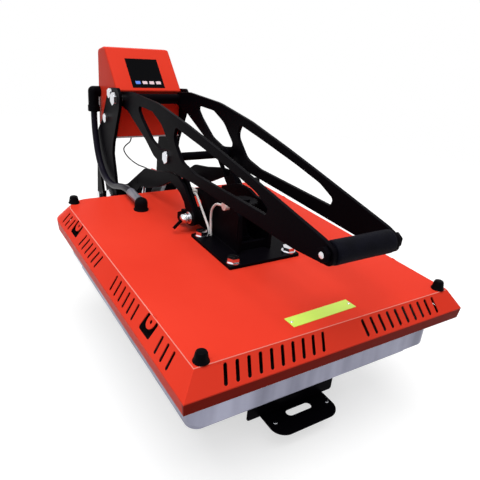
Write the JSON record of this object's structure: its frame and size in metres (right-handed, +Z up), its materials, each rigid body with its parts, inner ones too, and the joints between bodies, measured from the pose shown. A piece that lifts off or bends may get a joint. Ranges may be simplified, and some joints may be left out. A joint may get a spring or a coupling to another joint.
{
  "type": "flat heat press",
  "caption": "Clamshell flat heat press with a lattice lever, swing-up heated platen, pull-out lower platen and rear control box.",
  "frame": {"origin": "on the bench under the middle of the machine", "axes": "+X to the operator's right, +Y towards the rear columns, +Z up"},
  "size_m": [0.448, 0.78, 0.4642],
  "materials": {
    "red_paint": "gloss powder coat",
    "black_paint": "satin powder coat",
    "grey_paint": "light grey powder coat",
    "cast_platen": "machined casting",
    "bright_steel": "bright plated",
    "plated_steel": "zinc plated",
    "foam": "foam sleeve",
    "black_rubber": "moulded",
    "grey_rubber": "moulded",
    "black_plastic": "moulded",
    "red_silicone": "sponge sheet",
    "felt": "mineral blanket",
    "yellow_plate": "blank plate",
    "display": "black glass",
    "key_print": "lit keys",
    "ceramic": "glazed ceramic",
    "board_green": "circuit board",
    "sleeving": "woven glass sleeving"
  },
  "bodies": {
    "base": {"base_frame": "black_paint", "base_rear_plate": "black_paint", "rubber_feet": "black_rubber", "column_left": "black_paint", "column_right": "black_paint", "column_ties": "black_paint", "column_bolts": "bright_steel", "hinge_pins": "plated_steel", "electromagnet": "plated_steel", "base_brackets": "black_paint", "outer_slides": "plated_steel", "control_box": "red_paint", "control_box_floor": "grey_paint", "display_glass": "display", "touch_keys": "key_print", "control_board": "board_green", "mains_inlet": "black_plastic", "hose_elbow": "black_plastic", "heater_hose": "grey_rubber", "limit_switch_lead": "black_rubber"},
    "slide_middle": {"middle_slides": "plated_steel"},
    "drawer": {"inner_slides": "plated_steel", "carriage_plate": "black_paint", "lower_platen": "cast_platen", "silicone_pad": "red_silicone", "drawer_pull": "black_paint", "pull_screws": "bright_steel"},
    "head": {"heat_cover": "red_paint", "corner_caps": "black_plastic", "blank_label": "yellow_plate", "heating_platen": "cast_platen", "heating_element": "plated_steel", "insulation_blanket": "felt", "heat_shield": "plated_steel", "platen_posts": "plated_steel", "centre_plate": "black_paint", "centre_bolts": "bright_steel", "head_yoke": "black_paint", "pressure_screw": "plated_steel", "arm_pins": "plated_steel", "chrome_cap_nut": "bright_steel", "pin_sleeves": "black_paint", "swing_arms": "black_paint", "arm_tubes": "black_paint", "magnet_keeper": "plated_steel", "hose_boot": "black_rubber", "limit_switch": "black_plastic", "terminal_block": "ceramic", "heater_leads": "sleeving"},
    "lever": {"lever_plate_left": "black_paint", "lever_plate_right": "black_paint", "lever_pivot_tube": "black_paint", "link_cross_bar": "black_paint", "grip_rod": "bright_steel", "foam_grip": "foam"},
    "links": {"link_plates": "black_paint"},
    "spring_cylinder": {"spring_cylinders": "black_paint"},
    "spring_rod": {"spring_rods": "bright_steel"},
    "knob": {"pressure_knob": "black_plastic"},
    "rocker": {"power_rocker": "black_plastic"}
  },
  "joints": [
    {"name": "head_hinge", "type": "hinge", "parent": "base", "child": "head", "pos_m": [0, 0.278, 0.168], "axis": [-1, 0, 0], "range_deg": [0, 42], "deforming": ["heater_hose", "limit_switch_lead"]},
    {"name": "lever_hinge", "type": "hinge", "parent": "base", "child": "lever", "pos_m": [0, 0.245, 0.378], "axis": [-1, 0, 0], "range_deg": [0, 57.15]},
    {"name": "link_hinge", "type": "hinge", "parent": "head", "child": "links", "pos_m": [0, -0.054, 0.244], "axis": [-1, 0, 0], "range_deg": [-91.67, 0]},
    {"name": "spring_cylinder_hinge", "type": "hinge", "parent": "base", "child": "spring_cylinder", "pos_m": [0, 0.216, 0.07], "axis": [-1, 0, 0], "range_deg": [0, 20.39]},
    {"name": "spring_rod_slide", "type": "slide", "parent": "spring_cylinder", "child": "spring_rod", "axis": [0, -0.1843, 0.9829], "range_m": [0, 0.04818]},
    {"name": "drawer_slide", "type": "slide", "parent": "base", "child": "drawer", "axis": [0, -1, 0], "range_m": [0, 0.3]},
    {"name": "middle_slide", "type": "slide", "parent": "base", "child": "slide_middle", "axis": [0, -1, 0], "range_m": [0, 0.15]},
    {"name": "pressure_knob_turn", "type": "hinge", "parent": "head", "child": "knob", "pos_m": [0, -0.126, 0.27], "axis": [0, 0, 1], "range_deg": [-360, 360]},
    {"name": "power_rocker_hinge", "type": "hinge", "parent": "base", "child": "rocker", "pos_m": [-0.024, 0.371, 0.327], "axis": [1, 0, 0], "range_deg": [-16, 0]}
  ],
  "couplings": [
    {"joint": "lever_hinge", "follows": "head_hinge", "ratio": 1.3583},
    {"joint": "link_hinge", "follows": "head_hinge", "ratio": -2.1803},
    {"joint": "spring_cylinder_hinge", "follows": "head_hinge", "ratio": 0.483},
    {"joint": "spring_rod_slide", "follows": "head_hinge", "m_per_rad": 0.06545},
    {"joint": "middle_slide", "follows": "drawer_slide", "ratio": 0.5}
  ]
}
